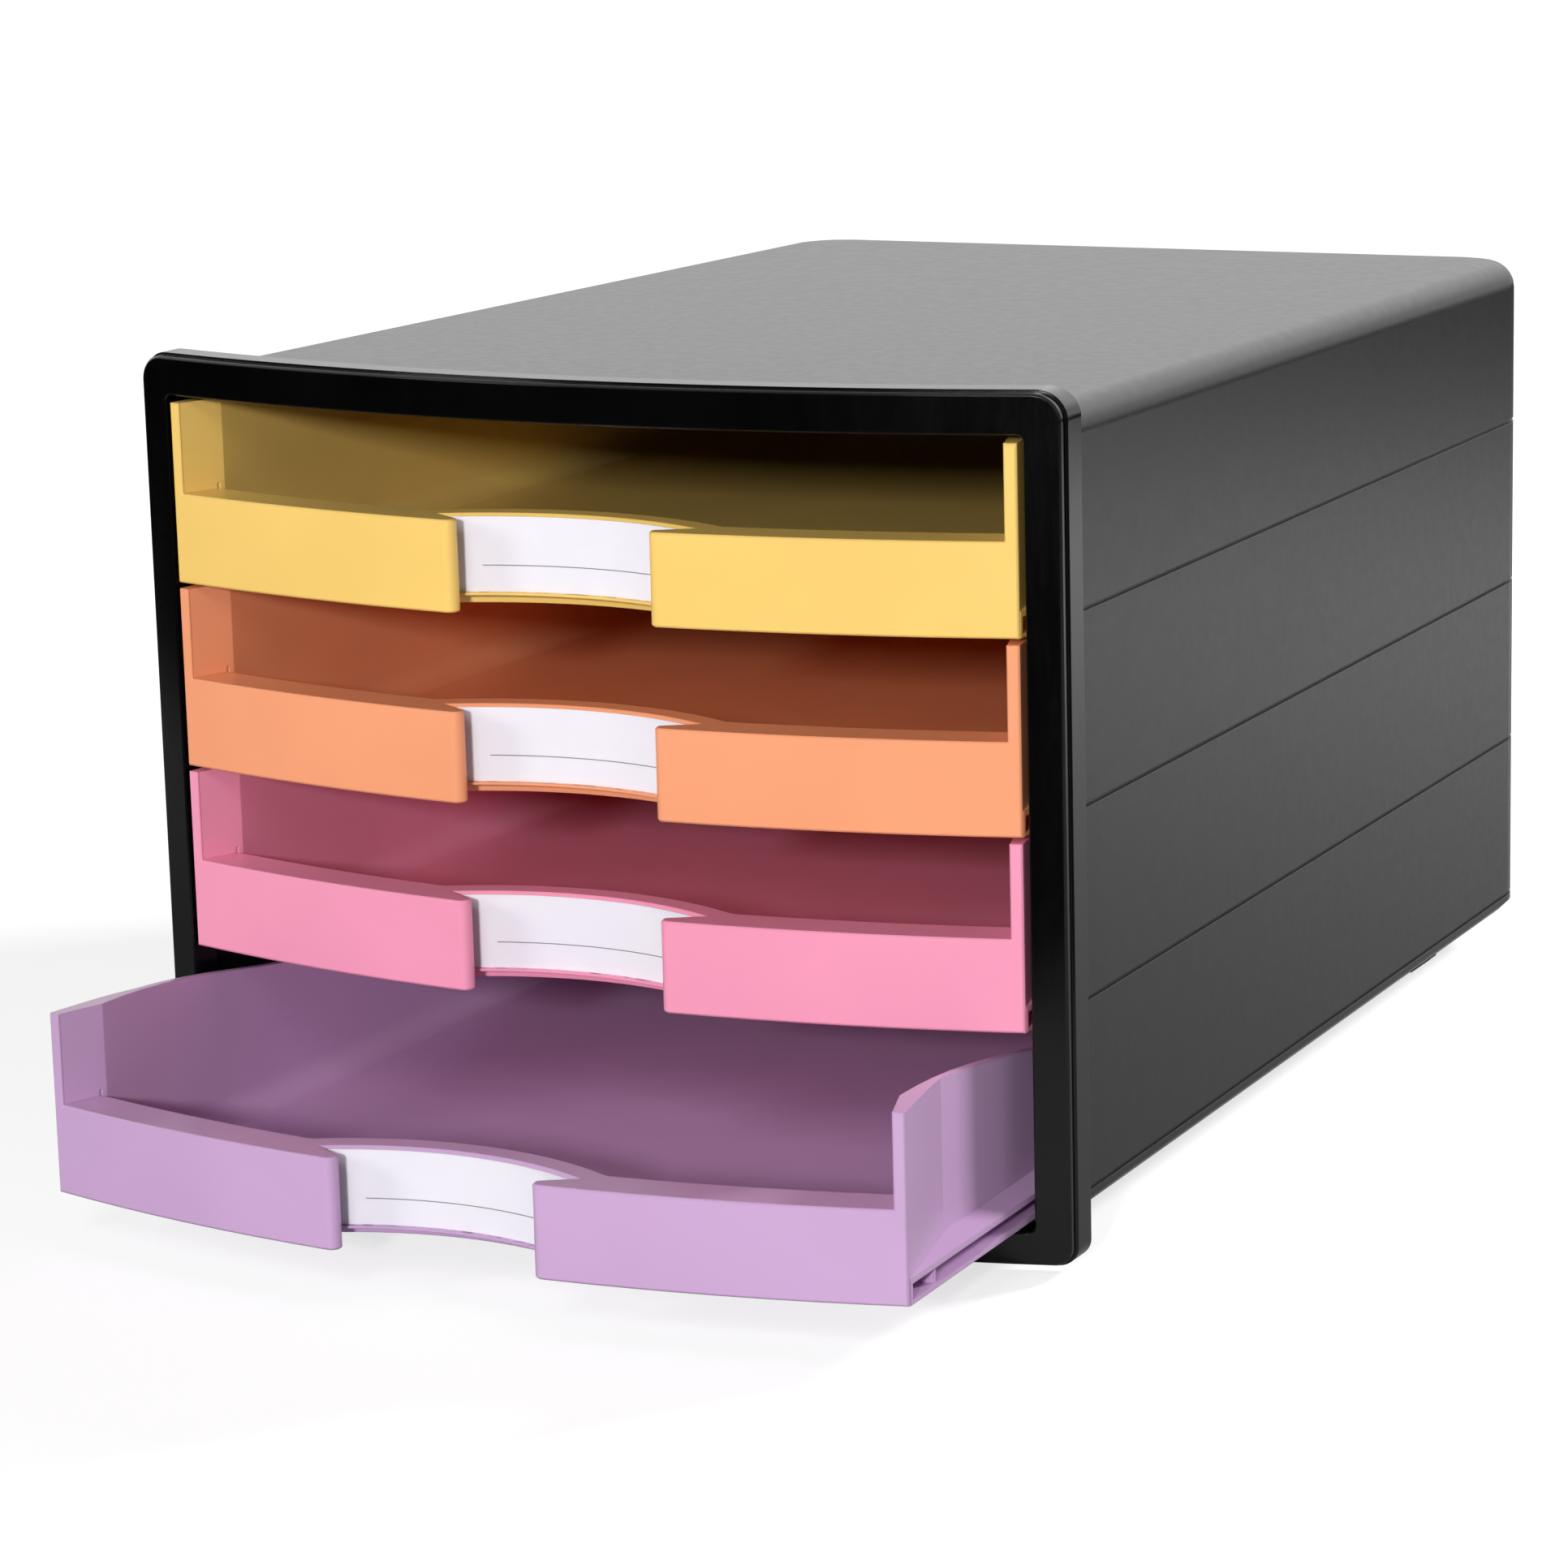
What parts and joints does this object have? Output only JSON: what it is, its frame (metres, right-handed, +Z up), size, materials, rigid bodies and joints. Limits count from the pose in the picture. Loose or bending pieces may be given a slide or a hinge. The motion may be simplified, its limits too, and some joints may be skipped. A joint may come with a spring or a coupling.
{
  "type": "desktop paper drawer box",
  "caption": "Desktop box of open drawers for sheet paper: a black housing with a bowed front frame, and pastel trays with split fronts and label windows that slide on rails.",
  "frame": {"origin": "centre of the underside of the box round the whole part, with the lowest drawer standing open as in the picture; z = 0 is the standing surface", "axes": "+X to the right seen from the front, +Y from the front to the back, +Z up; the drawers open towards -Y"},
  "size_m": [0.28, 0.489, 0.235],
  "materials": {
    "housing_black": "satin black moulded plastic with a fine grain",
    "frame_black": "glossy black moulded plastic",
    "tray_lilac": "satin pastel plastic",
    "tray_pink": "satin pastel plastic",
    "tray_orange": "satin pastel plastic",
    "tray_yellow": "satin pastel plastic",
    "label_paper": "matt white card",
    "label_clear": "clear glossy plastic",
    "foot_rubber": "soft matt rubber"
  },
  "bodies": {
    "housing": {"housing_shell": "housing_black", "front_frame": "frame_black", "foot_block_front_left": "housing_black", "foot_pad_front_left": "foot_rubber", "foot_block_front_right": "housing_black", "foot_pad_front_right": "foot_rubber", "foot_block_rear_left": "housing_black", "foot_pad_rear_left": "foot_rubber", "foot_block_rear_right": "housing_black", "foot_pad_rear_right": "foot_rubber", "lilac_rail_left": "housing_black", "lilac_rail_right": "housing_black", "pink_rail_left": "housing_black", "pink_rail_right": "housing_black", "orange_rail_left": "housing_black", "orange_rail_right": "housing_black", "yellow_rail_left": "housing_black", "yellow_rail_right": "housing_black"},
    "lilac_drawer": {"lilac_tray": "tray_lilac", "lilac_label_card": "label_paper", "lilac_label_window": "label_clear"},
    "pink_drawer": {"pink_tray": "tray_pink", "pink_label_card": "label_paper", "pink_label_window": "label_clear"},
    "orange_drawer": {"orange_tray": "tray_orange", "orange_label_card": "label_paper", "orange_label_window": "label_clear"},
    "yellow_drawer": {"yellow_tray": "tray_yellow", "yellow_label_card": "label_paper", "yellow_label_window": "label_clear"}
  },
  "joints": [
    {"name": "lilac_drawer_slide", "type": "slide", "parent": "housing", "child": "lilac_drawer", "axis": [0, -1, 0], "range_m": [-0.0725, 0.2275]},
    {"name": "pink_drawer_slide", "type": "slide", "parent": "housing", "child": "pink_drawer", "axis": [0, -1, 0], "range_m": [0, 0.3]},
    {"name": "orange_drawer_slide", "type": "slide", "parent": "housing", "child": "orange_drawer", "axis": [0, -1, 0], "range_m": [0, 0.3]},
    {"name": "yellow_drawer_slide", "type": "slide", "parent": "housing", "child": "yellow_drawer", "axis": [0, -1, 0], "range_m": [0, 0.3]}
  ]
}
